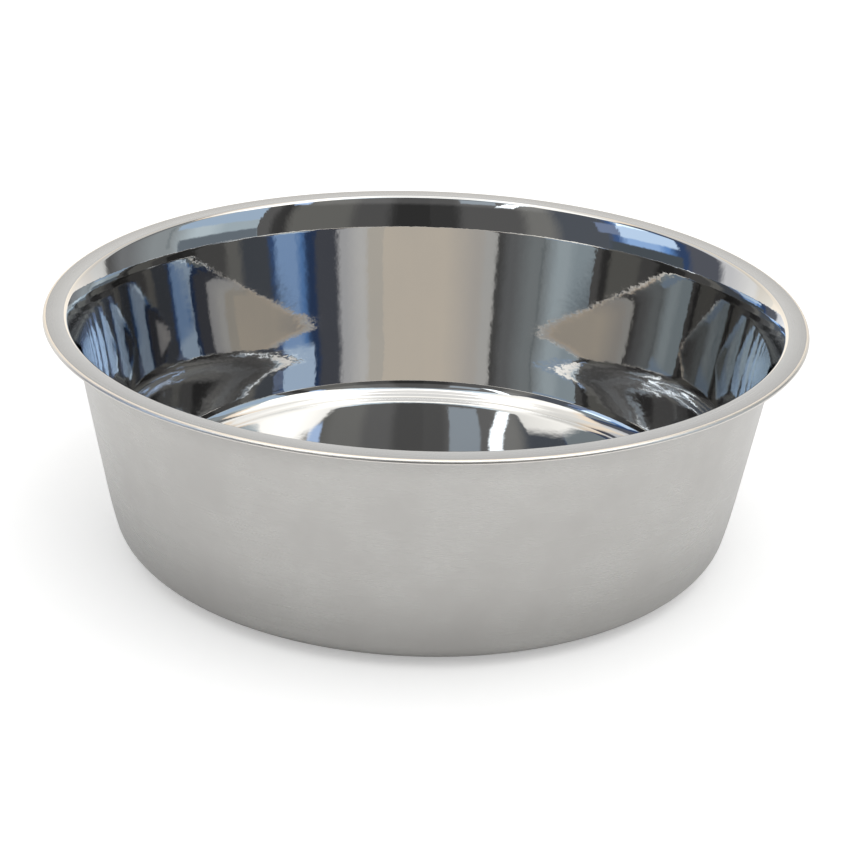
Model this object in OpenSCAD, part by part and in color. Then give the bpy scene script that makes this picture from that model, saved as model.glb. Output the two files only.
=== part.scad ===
// Stainless steel dog bowl: a shell drawn from one sheet, on a rubber ring that is bonded under its base.
// Millimetres, +Z up. The origin is the middle of the face that the bowl stands on.

/* [Shell] */
// Diameter over the lip
rim_d = 241; // [200:1:320]
// Height of the steel, from under its base to the top of its lip
shell_h = 74.8; // [45:0.1:120]
// Thickness of the sheet
sheet_t = 1.2; // [0.8:0.05:2]
// Lean of the wall from upright, in degrees
wall_lean = 10; // [4:0.5:16]

/* [Lip] */
// Width of the flat lip, from the shoulder bend to the outer edge
lip_w = 5.75; // [3:0.05:12]
// Radius of the small round under the lip's edge; the round above it takes the rest of the sheet
lip_burr_r = 0.2; // [0.1:0.05:0.35]
// Radius of the shoulder bend, on its underside
shoulder_r = 0.85; // [0.4:0.05:6]

/* [Flare] */
// Radius of the flare that widens the wall below the shoulder bend, on its underside
flare_r = 27.8; // [6:0.2:40]
// Lean of the sheet from upright at the top of the flare, in degrees
flare_lean = 31; // [18:1:50]

/* [Base] */
// Radius of the bend from the wall into the floor, on the inside
foot_r = 6; // [3:0.1:12]

/* [Non-skid ring] */
// Width of the rubber ring
ring_w = 10; // [5:0.5:20]
// Thickness of the rubber ring
ring_t = 1.6; // [1.4:0.1:4]
// Radius of the ring's two lower edges
ring_edge_r = 0.6; // [0.2:0.1:1]
// Distance from the edge of the flat base in to the ring
ring_inset = 5; // [1:0.5:15]

/* [Bond] */
// Thickness of the adhesive film
bond_t = 0.2; // [0.1:0.05:0.5]
// Distance that the adhesive stays back from the ring's edges
bond_setback = 0.6; // [0.2:0.1:1.5]

/* [Hidden] */
$fn = 240;

rim_r = rim_d / 2;
lip_edge_r = sheet_t - lip_burr_r;
base_z = ring_t + bond_t;
lip_top_z = base_z + shell_h;
foot_outer_r = foot_r + sheet_t;

// Centres of the shoulder bend and of the flare, which lie outside the bowl on one line through their joint
shoulder_x = rim_r - lip_w;
shoulder_z = lip_top_z - sheet_t - shoulder_r;
flare_x = shoulder_x + (flare_r - shoulder_r) * cos(flare_lean);
flare_z = shoulder_z - (flare_r - shoulder_r) * sin(flare_lean);

// Centre of the foot bend, which lies inside the bowl, and the straight wall that joins it to the flare
foot_z = base_z + foot_outer_r;
bends_r = flare_r + sheet_t + foot_r;
wall_len = (flare_z - foot_z + bends_r * sin(wall_lean)) / cos(wall_lean);
foot_x = flare_x - bends_r * cos(wall_lean) - wall_len * sin(wall_lean);

// The floor, the wall and the flare run on past their ends by this much, so that the sheet is one solid
seam = 0.01;
seam_turn = seam / flare_r * 180 / PI;

ring_outer_r = foot_x - ring_inset;
ring_inner_r = ring_outer_r - ring_w;

// The point at distance r and angle a from a centre
function polar(centre, r, a) = centre + r * [cos(a), sin(a)];

// Section of a bend in the sheet, whose inner face has radius r, between two angles less than 120 degrees apart
module sheet_bend(centre, r, from, to) {
    outer_r = r + sheet_t;
    intersection() {
        translate(centre)
            difference() {
                circle(r = outer_r);
                circle(r = r);
            }
        polygon([centre, polar(centre, 2 * outer_r, from), polar(centre, 2 * outer_r, to)]);
    }
}

// Section of the foot bend and of the straight wall that goes on from it up to the flare
module wall_section() {
    translate([foot_x, foot_z])
        rotate(-wall_lean)
            union() {
                sheet_bend([0, 0], foot_r, wall_lean - 90, 0);
                translate([foot_r, 0])
                    square([sheet_t, wall_len + seam]);
            }
}

// Section of a quarter round, up to 90 degrees on from an angle
module quarter_round(centre, r, from) {
    intersection() {
        translate(centre)
            circle(r = r);
        polygon([centre, polar(centre, 2 * r, from), polar(centre, 2 * r, from + 90)]);
    }
}

// Section of the flat lip, whose outer edge has a large round above and a small one below
module lip_section() {
    lip_z = lip_top_z - sheet_t;
    edge_x = rim_r - lip_edge_r;
    burr_z = lip_z + lip_burr_r;
    translate([shoulder_x, lip_z])
        square([lip_w - lip_edge_r, sheet_t]);
    translate([edge_x, lip_z])
        square([lip_edge_r - lip_burr_r, lip_burr_r]);
    quarter_round([edge_x, burr_z], lip_edge_r, 0);
    quarter_round([rim_r - lip_burr_r, burr_z], lip_burr_r, -90);
}

module floor_section() {
    translate([0, base_z])
        square([foot_x + seam, sheet_t]);
}

module bowl_shell() {
    color([0.78, 0.77, 0.75])
        rotate_extrude()
            union() {
                floor_section();
                wall_section();
                sheet_bend([flare_x, flare_z], flare_r, 180 - flare_lean - seam_turn, 180 - wall_lean);
                sheet_bend([shoulder_x, shoulder_z], shoulder_r, 90, 180 - flare_lean);
                lip_section();
            }
}

module non_skid_ring() {
    flat_w = ring_w - 2 * ring_edge_r;
    color([0.1, 0.1, 0.11])
        rotate_extrude()
            translate([ring_inner_r, 0])
                union() {
                    translate([0, ring_edge_r])
                        square([ring_w, ring_t - ring_edge_r]);
                    translate([ring_edge_r, 0])
                        square([flat_w, ring_edge_r]);
                    for (x = [ring_edge_r, ring_w - ring_edge_r])
                        translate([x, ring_edge_r])
                            circle(r = ring_edge_r);
                }
}

module ring_bond() {
    color([0.85, 0.84, 0.78])
        rotate_extrude()
            translate([ring_inner_r + bond_setback, ring_t])
                square([ring_w - 2 * bond_setback, bond_t]);
}

bowl_shell();
non_skid_ring();
ring_bond();
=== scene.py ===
"""Stainless dog bowl: the looks of the shell, its rubber ring and their adhesive. Metres, +Z up."""
import math

import bmesh
import bpy
from mathutils import Matrix, Vector


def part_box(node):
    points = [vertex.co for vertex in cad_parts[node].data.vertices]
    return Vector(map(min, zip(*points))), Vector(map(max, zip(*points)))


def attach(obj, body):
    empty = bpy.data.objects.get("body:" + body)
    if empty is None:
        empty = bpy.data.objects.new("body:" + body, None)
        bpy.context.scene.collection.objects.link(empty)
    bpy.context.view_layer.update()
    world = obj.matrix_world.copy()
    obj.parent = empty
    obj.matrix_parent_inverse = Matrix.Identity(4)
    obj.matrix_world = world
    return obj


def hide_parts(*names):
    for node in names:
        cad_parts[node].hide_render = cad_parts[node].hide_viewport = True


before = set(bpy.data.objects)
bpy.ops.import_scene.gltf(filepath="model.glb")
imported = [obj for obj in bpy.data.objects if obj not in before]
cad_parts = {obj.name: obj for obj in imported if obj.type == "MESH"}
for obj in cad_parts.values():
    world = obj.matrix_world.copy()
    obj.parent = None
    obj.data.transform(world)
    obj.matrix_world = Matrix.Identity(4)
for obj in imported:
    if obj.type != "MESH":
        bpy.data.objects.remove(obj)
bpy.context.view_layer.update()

# ---- Sizes, in metres and degrees --------------------------------------------------------------------

SHEET = 0.0012
# The wall's lean from upright by height, from the foot bend up to the flare
WALL_LEANS = ((0.0065, 14.75), (0.018, 10.2), (0.023, 9.45), (0.0655, 9.2))
LIP_W = 0.00575
LIP_EDGE_R = 0.001
LIP_BURR_R = 0.0002
# Radii on the inner face, and how far the shoulder bend turns down from the flat lip
SHOULDER_R = 0.00205
SHOULDER_TURN = 59
FLARE_R = 0.029
FOOT_R = 0.0072
RING_EDGE_R = 0.0006

# Faces round the bowl, and steps along each stretch of a section
SHELL_SEGMENTS = 512
RING_SEGMENTS = 256
FLOOR_STEPS = 40
FOOT_STEPS = 40
BEND_STEPS = 32
LIP_STEPS = 6
EDGE_STEPS = 16
BURR_STEPS = 6
RING_STEPS = 10
# Height of one step down the wall
WALL_STEP = 0.0005
# Steps of the shoulder bend that have the lip's finish
LIP_BEND_STEPS = 12

shell_low, shell_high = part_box("bowl_shell")
ring_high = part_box("non_skid_ring")[1]
RIM_R = shell_high.x
TOP = shell_high.z
BASE = shell_low.z

# The camera's distance, in rim radii, and its height angle are taken from a point just under the middle of
# the rim's plane. Its angles are in radians, and its focal length is in pixels of the picture.
CAMERA_DIST = 5.0988
CAMERA_ELEV = 0.3535
CAMERA_DROP = 0.00036
CAMERA_YAW = 0.0011
CAMERA_PITCH = 0.4171
CAMERA_ROLL = 0.0319
FOCAL_PX = 1922.43
PICTURE_PX = 850
SENSOR_MM = 36

# ---- The studio as the steel sees it ------------------------------------------------------------------

# Azimuths and heights are in degrees. Azimuth 0 is behind the bowl, and positive to the right.
# Cards that stand on the horizon: azimuth from and to, and radiance
LEFT_CARDS = [
    (-180, -171, (0.06, 0.06, 0.06)), (-167, -147, (0.14, 0.14, 0.14)), (-143, -136, (0.26, 0.26, 0.25)),
    (-131, -113, (0.12, 0.135, 0.16)), (-110.5, -109.5, (0.08, 0.16, 0.38)), (-105.5, -93, (0.42, 0.66, 1.1)),
    (-89, -88, (0.19, 0.4, 0.85)), (-84, -80, (0.05, 0.09, 0.2)), (-77, -64, (0.13, 0.14, 0.17)),
    (-61, -58, (0.82, 0.83, 0.86)), (-47, -44, (1.05, 1.05, 1.04)), (-41, -38, (0.97, 0.92, 0.83)),
]
FRONT_CARDS = [
    (-24, 12, (1.13, 1.03, 0.89)), (33, 36, (0.88, 0.84, 0.79)), (40, 46, (0.88, 0.88, 0.86)),
    (48, 49, (0.13, 0.13, 0.13)), (56, 60, (0.25, 0.26, 0.27)), (72, 80, (0.38, 0.42, 0.44)),
    (91, 97, (0.69, 0.81, 0.88)), (104, 116, (0.54, 0.65, 0.72)),
]
REAR_CARDS = [
    (118, 121, (0.15, 0.15, 0.15)), (124, 127, (0.06, 0.06, 0.06)), (130, 150, (0.19, 0.19, 0.18)),
    (154, 164, (0.12, 0.12, 0.12)), (168, 180, (0.045, 0.045, 0.045)),
]
# Azimuths at which the front cards follow the left ones, and the rear cards the front ones
FRONT_START = -31
REAR_START = 117
# Panes in front of the cards: azimuth from and to, height from and to, and radiance
PANES = [
    (-113, -82, -20, 13.5, (0.1, 0.12, 0.14)), (84, 117, -20, 13.5, (0.2, 0.24, 0.28)),
    (78.6, 80, 8, 40, (0.3, 0.34, 0.36)), (82, 117, 24, 38, (0.52, 0.68, 0.88)),
    (-117, -108, 22, 33, (0.26, 0.33, 0.5)),
    (-108, -83, 20.5, 33, (0.78, 1.02, 1.35)), (-107, -92, 33, 37.5, (1.7, 2.05, 2.4)),
    (-112, -84, 38.5, 52, (0.33, 0.38, 0.41)), (-168, -154, 40, 51, (0.48, 0.55, 0.62)),
    (127, 133, 38.5, 45, (0.75, 1.0, 1.45)),
]
# How soft a pane's sides are, and its lower and upper ends
PANE_SIDES = 0.7
PANE_ENDS = 1.2
# What the room behind the camera adds to its cards, by height and by azimuth to either side
HAZE = 0.09
HAZE_HEIGHTS = (34, 40)
HAZE_AZIMUTHS = (128, 140)
# Height at which the white room above the cards starts, and its brightness, by azimuth
ROOM_EDGE = [
    (-180, 64), (-165, 63), (-150, 59), (-140, 56), (-134, 50), (-131, 44.7), (-113, 44.7), (-97, 48),
    (-85, 54), (-72, 56), (-45, 57), (46, 57), (58, 52), (66, 47), (84, 46), (97, 45), (106, 40), (118, 40),
    (128, 43), (134, 48), (144, 56), (160, 62), (180, 64),
]
ROOM_LEVEL = [
    (-180, 0.55), (-160, 0.55), (-146, 1.2), (-128, 1.6), (-105, 1.9), (-80, 1.2), (-45, 1.2), (45, 1.2),
    (62, 1.5), (77, 1.9), (118, 2.35), (132, 1.9), (150, 1.0), (164, 0.6), (180, 0.55),
]
ROOM_EDGE_SOFT = 1.5
# The white room's tone in front of the camera and behind it, and the azimuths to either side where it changes
ROOM_TONE = (1, 0.985, 0.945)
REAR_TONE = (0.85, 1, 1.12)
TONE_AZIMUTHS = (134, 142)
# The foot of the white room is warm in front of the camera: azimuth from, to and softness, and the heights
# above the room's edge over which it fades
WARM = (1.4, 1.2, 0.98)
WARM_AZIMUTHS = (-92, 92, 8)
WARM_HEIGHTS = (6, 2)
# The ceiling and the middle of it, each with the heights over which it takes the place of what is below
CEILING = (2.6, 2.56, 2.46)
CEILING_HEIGHTS = (66, 76)
ZENITH = (1.2, 1.19, 1.17)
ZENITH_HEIGHTS = (75, 82)
# A narrow lamp leans behind the camera, to the left: azimuth from, to and softness at one height, the degrees
# that it leans for each degree up from there, and height from, to and softness
LAMP = (2.55, 2.75, 2.9)
LAMP_AZIMUTHS = (-149, -142.5, 0.8)
LAMP_LEAN = 0.9
LAMP_LEAN_FROM = 44
LAMP_HEIGHTS = (38, 53, 1.5)
# What lights the surfaces that don't mirror, and what the camera sees
PLAIN = (0.9, 0.9, 0.9)
WHITE = (1, 1, 1)
BLACK = (0, 0, 0)
# The wall's sides show light that the steel has turned many times
BOUNCES = 24

FLOOR_COLOUR = (0.93, 0.93, 0.925, 1)
FLOOR_GLOW = 0.3

# ---- Finishes -----------------------------------------------------------------------------------------

# The values between which most of a noise lies
NOISE = (0.3, 0.7)
CLOUD = (0.35, 0.65)

# Polished steel in two tints, and its tint at low angles, where light loses little at each turn round the
# wall. The low angles start between two Layer Weight values.
POLISHED_TINTS = ((0.625, 0.618, 0.608), (0.6, 0.598, 0.595))
LOW_ANGLE_TINT = (0.88, 0.89, 0.9)
LOW_ANGLES = (0.45, 0.72)
# How strong the ripple is on the wall, at the flare and at the foot, and the heights in metres between them
WALL_RIPPLE = 0.55
FLARE_RIPPLE = 1.0
FOOT_RIPPLE = 0.8
FLARE_HEIGHTS = (0.058, 0.068)
FOOT_HEIGHTS = (0.016, 0.008)

# The lip's tints are darker and bluer than the wall's steel: painted shade and a painted blue reflection.
LIP_TINTS = ((0.475, 0.522, 0.598), (0.46, 0.507, 0.582))
LIP_ROUGH = (0.22, 0.28)
# How much of the lip's tint is left at its outer side, a painted shade
LIP_OUTER_PAINTED_SHADE = 0.8
# The edge's tints are paler than the rest of the steel: painted light that brightens the dark line the edge
# reflects.
EDGE_TINTS = ((0.82, 0.79, 0.75), (0.79, 0.76, 0.72))
EDGE_ROUGH = (0.3, 0.36)

SATIN_TINTS = ((0.6, 0.59, 0.572), (0.56, 0.548, 0.53))
# How much of the satin tint is left at the foot, a painted shade where the bowl meets the floor, and the
# heights in metres over which it comes back
SATIN_FOOT_PAINTED_SHADE = 0.8
SATIN_PAINTED_SHADE_HEIGHTS = (0.002, 0.034)

RUBBER_TINTS = ((0.018, 0.018, 0.019), (0.045, 0.044, 0.043))
ADHESIVE_TINTS = ((0.72, 0.7, 0.62), (0.6, 0.57, 0.48))


# ---- Node trees ---------------------------------------------------------------------------------------

class Nodes:
    """A node tree that is written as nested calls. A colour to mix is three numbers or a socket."""

    def __init__(self, tree):
        self.tree = tree
        self.tree.nodes.clear()

    def node(self, kind, inputs=None, **settings):
        node = self.tree.nodes.new(kind)
        for name, value in settings.items():
            setattr(node, name, value)
        for name, value in (inputs or {}).items():
            if isinstance(value, bpy.types.NodeSocket):
                self.tree.links.new(value, node.inputs[name])
            else:
                node.inputs[name].default_value = value
        return node

    def add(self, kind, inputs=None, out=0, **settings):
        return self.node(kind, inputs, **settings).outputs[out]

    def math(self, operation, a, b=0.0):
        return self.add("ShaderNodeMath", {0: a, 1: b}, operation=operation)

    def times(self, a, b):
        return self.math("MULTIPLY", a, b)

    def step(self, value, low, high, to_low=0.0, to_high=1.0):
        return self.add("ShaderNodeMapRange", {0: value, 1: low, 2: high, 3: to_low, 4: to_high},
                        interpolation_type="SMOOTHSTEP")

    def scale(self, value, low, high, to_low=0.0, to_high=1.0):
        return self.add("ShaderNodeMapRange", {0: value, 1: low, 2: high, 3: to_low, 4: to_high})

    def band(self, value, low, high, soft):
        """1 between two values and 0 outside them."""
        return self.times(self.step(value, low - soft, low + soft),
                          self.step(value, high + soft, high - soft))

    def mix(self, factor, a, b, blend="MIX"):
        a, b = (c if isinstance(c, bpy.types.NodeSocket) else (*c, 1) for c in (a, b))
        return self.add("ShaderNodeMix", {0: factor, 6: a, 7: b}, out=2, data_type="RGBA",
                        blend_type=blend)

    def noise(self, vector, scale, detail, rough):
        return self.add("ShaderNodeTexNoise", {
            "Vector": vector, "Scale": scale, "Detail": detail, "Roughness": rough})

    def bump(self, height, strength, distance, **inputs):
        return self.add("ShaderNodeBump", {
            "Height": height, "Strength": strength, "Distance": distance, **inputs})

    def ramp(self, factor, stops):
        node = self.node("ShaderNodeValToRGB", {0: factor})
        elements = node.color_ramp.elements
        elements[0].position, elements[0].color = stops[0][0], (*stops[0][1], 1)
        elements[1].position, elements[1].color = stops[-1][0], (*stops[-1][1], 1)
        for position, colour in stops[1:-1]:
            elements.new(position).color = (*colour, 1)
        return node.outputs[0]


# ---- Camera and light ---------------------------------------------------------------------------------

def make_camera():
    stand = Vector((0, -math.cos(CAMERA_ELEV), math.sin(CAMERA_ELEV)))
    place = CAMERA_DIST * RIM_R * stand + Vector((0, 0, TOP - CAMERA_DROP))
    yaw, pitch, roll = CAMERA_YAW, CAMERA_PITCH, CAMERA_ROLL
    forward = Vector((math.sin(yaw) * math.cos(pitch), math.cos(yaw) * math.cos(pitch), -math.sin(pitch)))
    right = Vector((math.cos(yaw), -math.sin(yaw), 0))
    up = right.cross(forward)
    x = math.cos(roll) * right + math.sin(roll) * up
    y = math.cos(roll) * up - math.sin(roll) * right
    data = bpy.data.cameras.new("camera")
    data.sensor_fit = "HORIZONTAL"
    data.sensor_width = SENSOR_MM
    data.lens = SENSOR_MM * FOCAL_PX / PICTURE_PX
    data.clip_start = 0.01
    data.clip_end = 50
    camera = bpy.data.objects.new("camera", data)
    camera.matrix_world = Matrix.Translation(place) @ Matrix((x, y, -forward)).transposed().to_4x4()
    bpy.context.scene.collection.objects.link(camera)
    bpy.context.scene.camera = camera


make_camera()


def azimuth_ramp(n, azimuth, stops):
    return n.ramp(n.scale(azimuth, -180, 180), [((a + 180) / 360, colour) for a, colour in stops])


def card_ramp(n, azimuth, cards):
    return azimuth_ramp(n, azimuth, [(a, colour) for start, end, colour in cards for a in (start, end)])


def value_ramp(n, azimuth, stops, most):
    """Values up to a largest one, by azimuth."""
    return n.times(azimuth_ramp(n, azimuth, [(a, (value / most,) * 3) for a, value in stops]), most)


def low_room(n, azimuth, height):
    """What stands round the bowl, up to the edge of the white room."""
    low = n.mix(n.math("GREATER_THAN", azimuth, FRONT_START), card_ramp(n, azimuth, LEFT_CARDS),
                card_ramp(n, azimuth, FRONT_CARDS))
    low = n.mix(n.math("GREATER_THAN", azimuth, REAR_START), low, card_ramp(n, azimuth, REAR_CARDS))
    haze = n.step(height, *HAZE_HEIGHTS, 0.0, HAZE)
    haze = n.mix(n.step(n.math("ABSOLUTE", azimuth), *HAZE_AZIMUTHS), BLACK, haze)
    low = n.mix(1.0, low, haze, "ADD")
    for start, end, bottom, top, colour in PANES:
        pane = n.times(n.band(azimuth, start, end, PANE_SIDES), n.band(height, bottom, top, PANE_ENDS))
        low = n.mix(pane, low, colour)
    return low


def white_room(n, azimuth, height, above):
    tone = n.mix(n.step(n.math("ABSOLUTE", azimuth), *TONE_AZIMUTHS), ROOM_TONE, REAR_TONE)
    white = n.mix(1.0, tone, value_ramp(n, azimuth, ROOM_LEVEL, 3), "MULTIPLY")
    white = n.mix(n.step(height, *CEILING_HEIGHTS), white, CEILING)
    white = n.mix(n.step(height, *ZENITH_HEIGHTS), white, ZENITH)
    return n.mix(n.times(n.band(azimuth, *WARM_AZIMUTHS), n.step(above, *WARM_HEIGHTS)), white, WARM)


def make_world():
    world = bpy.data.worlds.new("studio")
    bpy.context.scene.world = world
    world.use_nodes = True
    world.cycles.sampling_method = "NONE"
    n = Nodes(world.node_tree)
    x, y, z = n.node("ShaderNodeSeparateXYZ", {0: n.add("ShaderNodeTexCoord")}).outputs
    azimuth = n.times(n.math("ARCTAN2", x, y), 180 / math.pi)
    height = n.times(n.math("ARCSINE", z), 180 / math.pi)
    above = n.math("SUBTRACT", height, value_ramp(n, azimuth, ROOM_EDGE, 90))
    room = n.mix(n.step(above, -ROOM_EDGE_SOFT, ROOM_EDGE_SOFT), low_room(n, azimuth, height),
                 white_room(n, azimuth, height, above))
    lean = n.math("SUBTRACT", azimuth, n.times(n.math("SUBTRACT", height, LAMP_LEAN_FROM), LAMP_LEAN))
    room = n.mix(n.times(n.band(lean, *LAMP_AZIMUTHS), n.band(height, *LAMP_HEIGHTS)), room, LAMP)
    path = n.node("ShaderNodeLightPath").outputs
    seen = n.math("MAXIMUM", path["Is Glossy Ray"], path["Is Transmission Ray"])
    colour = n.mix(seen, n.mix(path["Is Camera Ray"], PLAIN, WHITE), room)
    n.node("ShaderNodeOutputWorld", {0: n.add("ShaderNodeBackground", {0: colour, 1: 1.0})})
    bpy.context.scene.cycles.max_bounces = BOUNCES
    bpy.context.scene.cycles.glossy_bounces = BOUNCES


make_world()


def make_lamp(name, place, target, size, power):
    data = bpy.data.lights.new(name, "AREA")
    data.shape = "DISK"
    data.size = size
    data.energy = power
    lamp = bpy.data.objects.new(name, data)
    lamp.location = place
    lamp.rotation_euler = (Vector(target) - Vector(place)).to_track_quat("-Z", "Y").to_euler()
    lamp.visible_glossy = False
    lamp.visible_camera = False
    bpy.context.scene.collection.objects.link(lamp)


make_lamp("key", place=(0.5, -0.5, 1.5), target=(0, 0, 0), size=1.4, power=5.0)


def new_material(name):
    material = bpy.data.materials.new(name)
    material.use_nodes = True
    return material, Nodes(material.node_tree)


def make_floor():
    mesh = bpy.data.meshes.new("floor")
    b = bmesh.new()
    bmesh.ops.create_circle(b, cap_ends=True, radius=6, segments=96)
    b.to_mesh(mesh)
    b.free()
    floor = bpy.data.objects.new("floor", mesh)
    bpy.context.scene.collection.objects.link(floor)
    material, n = new_material("floor")
    camera_ray = n.add("ShaderNodeLightPath", out="Is Camera Ray")
    glow = n.add("ShaderNodeEmission", {0: (*WHITE, 1), 1: n.times(camera_ray, FLOOR_GLOW)})
    plain = n.add("ShaderNodeBsdfDiffuse", {"Color": FLOOR_COLOUR})
    n.node("ShaderNodeOutputMaterial", {0: n.add("ShaderNodeAddShader", {0: plain, 1: glow})})
    mesh.materials.append(material)


make_floor()


# ---- Materials ----------------------------------------------------------------------------------------

def surface(n, **inputs):
    """Ends a material in its shader. An input's name is written with _ for a space."""
    inputs = {name.replace("_", " "): value for name, value in inputs.items()}
    n.node("ShaderNodeOutputMaterial", {0: n.add("ShaderNodeBsdfPrincipled", inputs)})


def lathe_marks(n, round_scale, along_scale, detail, rough):
    """The point on the bowl, its height, its distance along the section, and marks that a lathe leaves.

    The marks run slowly round the bowl and fast along its section.
    """
    spot = n.add("ShaderNodeTexCoord", out="Object")
    x, y, z = n.node("ShaderNodeSeparateXYZ", {0: spot}).outputs
    along = n.math("ADD", n.math("SQRT", n.math("ADD", n.times(x, x), n.times(y, y))), z)
    lines = n.add("ShaderNodeCombineXYZ", {
        0: n.times(x, round_scale), 1: n.times(y, round_scale), 2: n.times(along, along_scale)})
    return spot, z, along, n.noise(lines, 1.0, detail, rough)


def polished_steel():
    material, n = new_material("steel_polished")
    spot, height, _, grain = lathe_marks(n, round_scale=6, along_scale=1800, detail=3, rough=0.6)
    broad = n.noise(spot, scale=14, detail=2, rough=0.5)
    stain = n.noise(spot, scale=22, detail=3, rough=0.6)
    wave = n.noise(spot, scale=26, detail=1, rough=0.4)
    ripple = n.noise(spot, scale=300, detail=2, rough=0.5)
    # The sheet is less even where it was bent: at the foot and at the flare
    bent = n.math("MAXIMUM", n.step(height, *FLARE_HEIGHTS, WALL_RIPPLE, FLARE_RIPPLE),
                  n.step(height, *FOOT_HEIGHTS, WALL_RIPPLE, FOOT_RIPPLE))
    normal = n.bump(grain, strength=0.02, distance=0.00001)
    normal = n.bump(wave, strength=1.0, distance=0.00002, Normal=normal)
    normal = n.bump(ripple, strength=bent, distance=0.000018, Normal=normal)
    facing = n.add("ShaderNodeLayerWeight", {"Blend": 0.5}, out="Facing")
    tint = n.mix(n.step(facing, *LOW_ANGLES), n.mix(n.scale(stain, *NOISE), *POLISHED_TINTS), LOW_ANGLE_TINT)
    dull = n.math("ADD", n.times(grain, 0.5), n.times(broad, 0.5))
    surface(n, Base_Color=tint, Metallic=1.0, Roughness=n.scale(dull, *NOISE, 0.015, 0.035), Normal=normal)
    return material


def rim_steel(name, tints, roughness, outer_painted_shade):
    """Steel for the flat lip and for its edge. It is duller than the wall, and darker towards the outside,
    which is painted shade.
    """
    material, n = new_material(name)
    spot, _, along, grain = lathe_marks(n, round_scale=20, along_scale=4000, detail=3, rough=0.6)
    cloud = n.noise(spot, scale=60, detail=3, rough=0.55)
    # The lip is darker towards the outside: painted shade.
    # On the flat lip the distance along the section is the height of its top and the distance from the axis
    painted_shade = n.scale(along, TOP + RIM_R - LIP_W, TOP + RIM_R - LIP_EDGE_R, 1.0, outer_painted_shade)
    tint = n.mix(painted_shade, BLACK, n.mix(n.scale(cloud, *CLOUD), *tints))
    surface(n, Base_Color=tint, Metallic=1.0, Roughness=n.scale(grain, *NOISE, *roughness),
            Normal=n.bump(grain, strength=0.1, distance=0.00001))
    return material


def satin_steel():
    material, n = new_material("steel_satin")
    spot, height, _, grain = lathe_marks(n, round_scale=30, along_scale=5000, detail=4, rough=0.7)
    cloud = n.noise(spot, scale=38, detail=4, rough=0.62)
    # The satin is darker towards the foot: painted shade where the bowl meets the floor.
    painted_shade = n.step(height, *SATIN_PAINTED_SHADE_HEIGHTS, SATIN_FOOT_PAINTED_SHADE, 1.0)
    tint = n.mix(painted_shade, BLACK, n.mix(n.scale(cloud, *CLOUD), *SATIN_TINTS))
    dull = n.math("ADD", n.times(grain, 0.6), n.times(cloud, 0.4))
    surface(n, Base_Color=tint, Metallic=1.0, Roughness=n.scale(dull, *NOISE, 0.24, 0.34),
            Normal=n.bump(grain, strength=0.12, distance=0.00002), Anisotropic=0.6, Anisotropic_Rotation=0.25,
            Tangent=n.add("ShaderNodeTangent", direction_type="RADIAL", axis="Z"))
    return material


def moulded_rubber():
    material, n = new_material("rubber")
    spot = n.add("ShaderNodeTexCoord", out="Object")
    pebble = n.noise(spot, scale=1400, detail=4, rough=0.6)
    dust = n.noise(spot, scale=60, detail=3, rough=0.6)
    surface(n, Base_Color=n.mix(n.scale(dust, 0.4, 0.75), *RUBBER_TINTS), IOR=1.5,
            Roughness=n.scale(pebble, *NOISE, 0.55, 0.78),
            Normal=n.bump(pebble, strength=0.4, distance=0.0001))
    return material


def cured_adhesive():
    material, n = new_material("adhesive")
    cloud = n.noise(n.add("ShaderNodeTexCoord", out="Object"), scale=240, detail=3, rough=0.6)
    surface(n, Base_Color=n.mix(n.scale(cloud, 0.35, 0.7), *ADHESIVE_TINTS), IOR=1.45,
            Roughness=n.scale(cloud, *NOISE, 0.3, 0.5),
            Normal=n.bump(cloud, strength=0.3, distance=0.00005))
    return material


# ---- Pieces -------------------------------------------------------------------------------------------

def polar(centre, radius, degrees):
    a = math.radians(degrees)
    return centre[0] + radius * math.cos(a), centre[1] + radius * math.sin(a)


def arc(centre, radius, start, end, steps):
    """Points on an arc, from one angle to another, in degrees from the outward direction."""
    return [polar(centre, radius, start + (end - start) * i / steps) for i in range(steps + 1)]


def line(start, end, steps):
    return [(start[0] + (end[0] - start[0]) * i / steps, start[1] + (end[1] - start[1]) * i / steps)
            for i in range(steps + 1)]


def lathe(name, section, closed, segments, materials, material_of=lambda i: 0):
    """Turns a section of (distance, height) points about the axis. Points at distance 0 become one vertex."""
    b = bmesh.new()
    turns = [2 * math.pi * k / segments for k in range(segments)]
    rings = [[b.verts.new((r * math.cos(t), r * math.sin(t), z)) for t in (turns if r > 1e-9 else [0])]
             for r, z in section]
    count = len(section)
    for i in range(count if closed else count - 1):
        low, high = rings[i], rings[(i + 1) % count]
        for k in range(segments):
            m = (k + 1) % segments
            corners = [low[k % len(low)], low[m % len(low)], high[m % len(high)], high[k % len(high)]]
            face = b.faces.new(list(dict.fromkeys(corners)))
            face.smooth = True
            face.material_index = material_of(i)
    bmesh.ops.recalc_face_normals(b, faces=b.faces)
    mesh = bpy.data.meshes.new(name)
    b.to_mesh(mesh)
    b.free()
    for material in materials:
        mesh.materials.append(material)
    piece = bpy.data.objects.new(name, mesh)
    bpy.context.scene.collection.objects.link(piece)
    return piece


def wall_lean(z):
    """The wall's lean at a height, in radians."""
    for (z0, a0), (z1, a1) in zip(WALL_LEANS, WALL_LEANS[1:]):
        if z < z1:
            break
    return math.radians(a0 + (a1 - a0) * (z - z0) / (z1 - z0))


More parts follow.
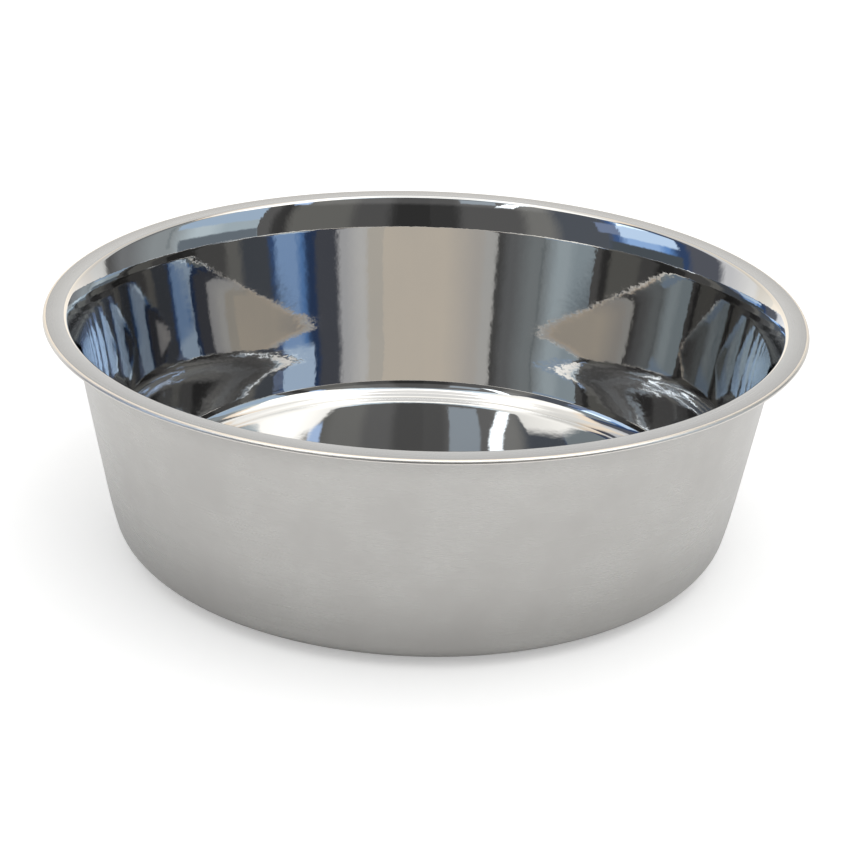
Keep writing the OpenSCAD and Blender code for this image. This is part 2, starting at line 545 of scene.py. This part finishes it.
def shell_section():
    """The sheet's section, from the middle of the floor to the lip, over its edge and back under the base."""
    turn = 90 + SHOULDER_TURN
    high = wall_lean(WALL_LEANS[-1][0])
    shoulder = (RIM_R - LIP_W, TOP - SHOULDER_R)
    flare = polar(shoulder, SHOULDER_R - FLARE_R, turn)
    flare_end = 180 - math.degrees(high)
    # The wall comes down from the flare and leans more towards the foot bend, which takes up its last lean
    foot_z = BASE + SHEET + FOOT_R
    r, z = flare[0] - FLARE_R * math.cos(high), flare[1] + FLARE_R * math.sin(high)
    lean = high
    wall = [(r, z, lean)]
    while z - WALL_STEP > foot_z - FOOT_R * math.sin(lean):
        r, z = r - WALL_STEP * math.tan(wall_lean(z - WALL_STEP / 2)), z - WALL_STEP
        lean = wall_lean(z)
        wall.insert(0, (r, z, lean))
    foot = (r - FOOT_R * math.cos(lean), z + FOOT_R * math.sin(lean))
    foot_end = -math.degrees(lean)
    floor = foot[1] - FOOT_R
    inner = line((0, floor), (foot[0], floor), FLOOR_STEPS)
    inner += arc(foot, FOOT_R, -90, foot_end, FOOT_STEPS)[1:]
    inner += [(r, z) for r, z, a in wall[1:]]
    inner += arc(flare, FLARE_R, flare_end, turn, BEND_STEPS)[1:]
    inner += arc(shoulder, SHOULDER_R, turn, 90, BEND_STEPS)[1:]
    inner += line(inner[-1], (RIM_R - LIP_EDGE_R, TOP), LIP_STEPS)[1:]
    edge = arc((RIM_R - LIP_EDGE_R, TOP - LIP_EDGE_R), LIP_EDGE_R, 90, 0, EDGE_STEPS)[1:]
    edge += arc((RIM_R - LIP_BURR_R, TOP - SHEET + LIP_BURR_R), LIP_BURR_R, 0, -90, BURR_STEPS)[1:]
    under = line(edge[-1], (shoulder[0], TOP - SHEET), LIP_STEPS)[1:]
    under += arc(shoulder, SHOULDER_R - SHEET, 90, turn, BEND_STEPS)[1:]
    under += arc(flare, FLARE_R - SHEET, turn, flare_end, BEND_STEPS)[1:]
    under += [(r + SHEET * math.cos(a), z - SHEET * math.sin(a)) for r, z, a in reversed(wall[:-1])]
    under += arc(foot, FOOT_R + SHEET, foot_end, -90, FOOT_STEPS)[1:]
    under += line(under[-1], (0, floor - SHEET), FLOOR_STEPS)[1:]
    return inner, edge, under


upper_face, lip_edge, lower_face = shell_section()
# The stretches of the section at which the lip's, the edge's and the outside's finish start
edge_start = len(upper_face) - 1
lip_start = edge_start - LIP_STEPS - LIP_BEND_STEPS
satin_start = len(upper_face) + EDGE_STEPS
steels = [
    polished_steel(), rim_steel("steel_lip", LIP_TINTS, LIP_ROUGH, LIP_OUTER_PAINTED_SHADE),
    rim_steel("steel_edge", EDGE_TINTS, EDGE_ROUGH, 1.0), satin_steel(),
]
shell = lathe("shell", upper_face + lip_edge + lower_face, False, SHELL_SEGMENTS, steels,
              lambda i: sum(i >= start for start in (lip_start, edge_start, satin_start)))
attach(shell, "root")
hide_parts("bowl_shell")


def ring_section():
    inner_r = min(math.hypot(v.co.x, v.co.y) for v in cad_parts["non_skid_ring"].data.vertices)
    e = RING_EDGE_R
    points = line((inner_r, ring_high.z), (ring_high.x, ring_high.z), RING_STEPS)
    points += arc((ring_high.x - e, e), e, 0, -90, RING_STEPS)
    points += arc((inner_r + e, e), e, -90, -180, RING_STEPS)
    return points


ring = lathe("ring", ring_section(), True, RING_SEGMENTS, [moulded_rubber()])
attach(ring, "root")
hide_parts("non_skid_ring")

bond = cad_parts["ring_bond"]
bond.data.materials.clear()
bond.data.materials.append(cured_adhesive())

bpy.context.scene.view_settings.view_transform = "Standard"
